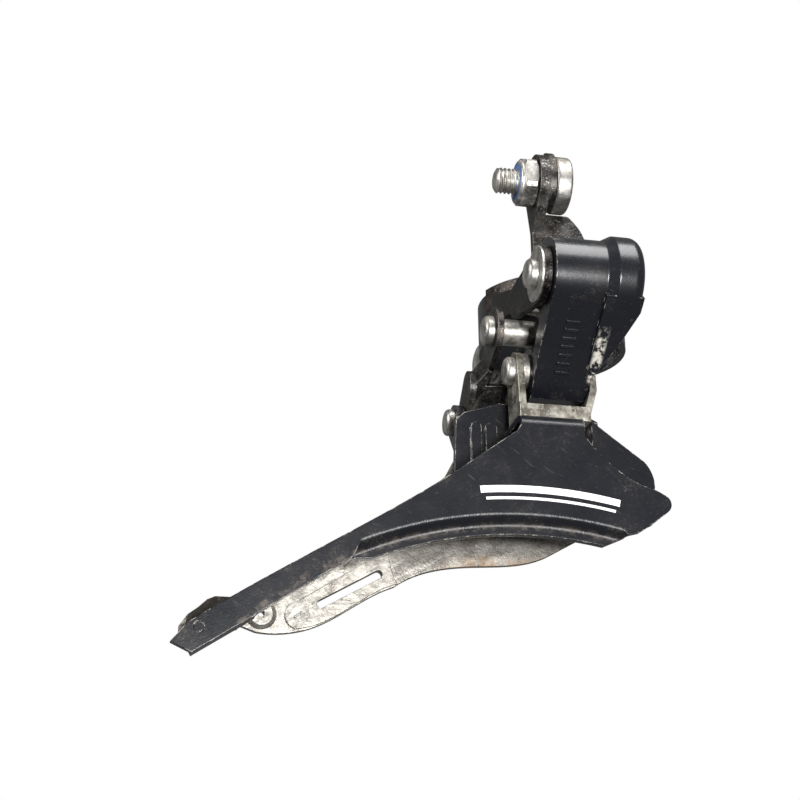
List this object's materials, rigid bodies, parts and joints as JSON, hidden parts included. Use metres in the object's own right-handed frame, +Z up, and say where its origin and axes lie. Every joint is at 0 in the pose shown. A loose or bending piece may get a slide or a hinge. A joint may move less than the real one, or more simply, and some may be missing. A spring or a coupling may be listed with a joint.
{
  "type": "front derailleur",
  "caption": "Bottom-swing front derailleur with hinged seat-tube clamp, sprung parallelogram links, cable arm and a two-plate chain cage.",
  "frame": {"origin": "centre of the seat-tube clamp bore, at mid height of the band", "axes": "+Z up along the seat tube, +X to the front of the bicycle, +Y inboard; the outboard side faces -Y and the stored pose is the innermost cage position"},
  "size_m": [0.0966, 0.0826, 0.0989],
  "materials": {
    "black_enamel": "gloss",
    "dark_steel": "rough",
    "bright_zinc": "satin",
    "stained_zinc": "satin",
    "spring_steel": "satin",
    "blue_nylon": "satin"
  },
  "bodies": {
    "seat_tube_side": {"clamp_band": "black_enamel", "clamp_hinge_pin": "bright_zinc", "clamp_bolt": "bright_zinc", "clamp_washer": "bright_zinc", "fixed_bracket": "dark_steel", "band_rivets": "dark_steel", "outer_pivot_pin": "bright_zinc", "outer_pivot_washer": "bright_zinc", "inner_pivot_pin": "bright_zinc", "inner_pivot_sleeve": "bright_zinc", "return_spring": "spring_steel"},
    "clamp_strap": {"clamp_strap": "black_enamel"},
    "clamp_nut": {"clamp_nut": "bright_zinc"},
    "limit_screw_low": {"limit_screw_low": "bright_zinc"},
    "limit_screw_high": {"limit_screw_high": "bright_zinc"},
    "outer_link": {"outer_link": "black_enamel", "outer_link_bushes": "bright_zinc", "cable_arm": "dark_steel", "cable_arm_rivets": "dark_steel", "cable_anchor_bolt": "bright_zinc", "cable_clamp_plate": "dark_steel", "cable_anchor_nut": "bright_zinc", "nut_nylon_ring": "blue_nylon"},
    "inner_link": {"inner_link": "dark_steel"},
    "cage": {"cage_pin_outer": "bright_zinc", "cage_pin_washer": "bright_zinc", "cage_pin_inner": "bright_zinc", "link_yoke": "bright_zinc", "yoke_rivets": "bright_zinc", "cage_outer_plate": "black_enamel", "cage_bracket": "black_enamel", "cage_inner_plate": "stained_zinc", "cage_rivets": "stained_zinc", "cage_tail_rivet": "black_enamel"}
  },
  "joints": [
    {"name": "outer_link_swing", "type": "hinge", "parent": "seat_tube_side", "child": "outer_link", "pos_m": [-0.009, -0.049, -0.012], "axis": [-1, 0, 0], "range_deg": [0, 45], "stiffness_Nm_per_rad": 0.3, "springref_deg": -28.65},
    {"name": "cage_swing", "type": "hinge", "parent": "outer_link", "child": "cage", "pos_m": [-0.0115, -0.03481, -0.02552], "axis": [-1, 0, 0], "range_deg": [-45, 0]},
    {"name": "inner_link_swing", "type": "hinge", "parent": "seat_tube_side", "child": "inner_link", "pos_m": [-0.0125, -0.034, -0.0172], "axis": [-1, 0, 0], "range_deg": [0, 45]},
    {"name": "clamp_open", "type": "hinge", "parent": "seat_tube_side", "child": "clamp_strap", "pos_m": [0.0085, -0.01472, 0], "axis": [0, 0, -1], "range_deg": [0, 5]},
    {"name": "clamp_nut_slide", "type": "slide", "parent": "seat_tube_side", "child": "clamp_nut", "axis": [0.9848, 0.1736, 0], "range_m": [0, 0.0037]},
    {"name": "limit_screw_low_slide", "type": "slide", "parent": "seat_tube_side", "child": "limit_screw_low", "axis": [0, 0, 1], "range_m": [0, 0.002]},
    {"name": "limit_screw_high_slide", "type": "slide", "parent": "seat_tube_side", "child": "limit_screw_high", "axis": [0, 0, 1], "range_m": [0, 0.002]}
  ],
  "couplings": [
    {"joint": "cage_swing", "follows": "outer_link_swing", "ratio": -1},
    {"joint": "inner_link_swing", "follows": "outer_link_swing", "ratio": 1},
    {"joint": "clamp_nut_slide", "follows": "clamp_open", "m_per_rad": 0.0415}
  ]
}
